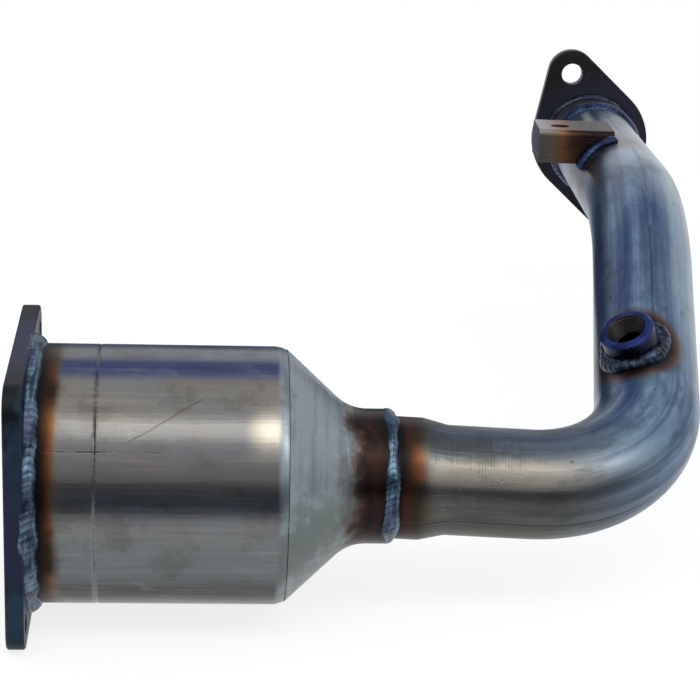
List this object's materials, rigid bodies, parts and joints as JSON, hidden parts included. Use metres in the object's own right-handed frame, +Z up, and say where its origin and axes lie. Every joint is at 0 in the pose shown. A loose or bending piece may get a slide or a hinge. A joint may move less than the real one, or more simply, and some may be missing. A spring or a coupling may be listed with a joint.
{
  "type": "catalytic converter",
  "caption": "Catalytic converter in a steel can with a square inlet flange, a bent exhaust pipe with a sensor boss and a stay bracket, and an oval bolted flange at the pipe's end.",
  "frame": {"origin": "centre of the inlet flange's mating face", "axes": "+X along the converter's can away from the inlet flange, +Z up and square to one pair of the flange's sides, +Y to the side where the pipe leaves"},
  "size_m": [0.3594, 0.4998, 0.1648],
  "materials": {
    "can_steel": "satin stainless sheet with heat tint by the welds",
    "pipe_steel": "drawn stainless tube with a blue cast",
    "inlet_plate": "dark oxidised plate",
    "outlet_plate": "near black oxidised plate",
    "boss_steel": "machined steel tinted deep blue",
    "bracket_steel": "steel block tinted brown by the weld",
    "weld_metal": "rippled weld bead",
    "brick_ceramic": "matt coated honeycomb",
    "mat_fibre": "pressed ceramic fibre"
  },
  "bodies": {
    "root": {"inlet_flange": "inlet_plate", "inlet_flange_weld": "weld_metal", "converter_shell": "can_steel", "catalyst_brick": "brick_ceramic", "support_mat": "mat_fibre", "neck_weld": "weld_metal", "exhaust_pipe": "pipe_steel", "sensor_boss": "boss_steel", "sensor_boss_weld": "weld_metal", "outlet_sleeve": "pipe_steel", "outlet_sleeve_weld": "weld_metal", "outlet_flange": "outlet_plate", "outlet_flange_weld": "weld_metal", "support_bracket": "bracket_steel", "bracket_front_weld": "weld_metal", "bracket_rear_weld": "weld_metal"}
  },
  "joints": []
}
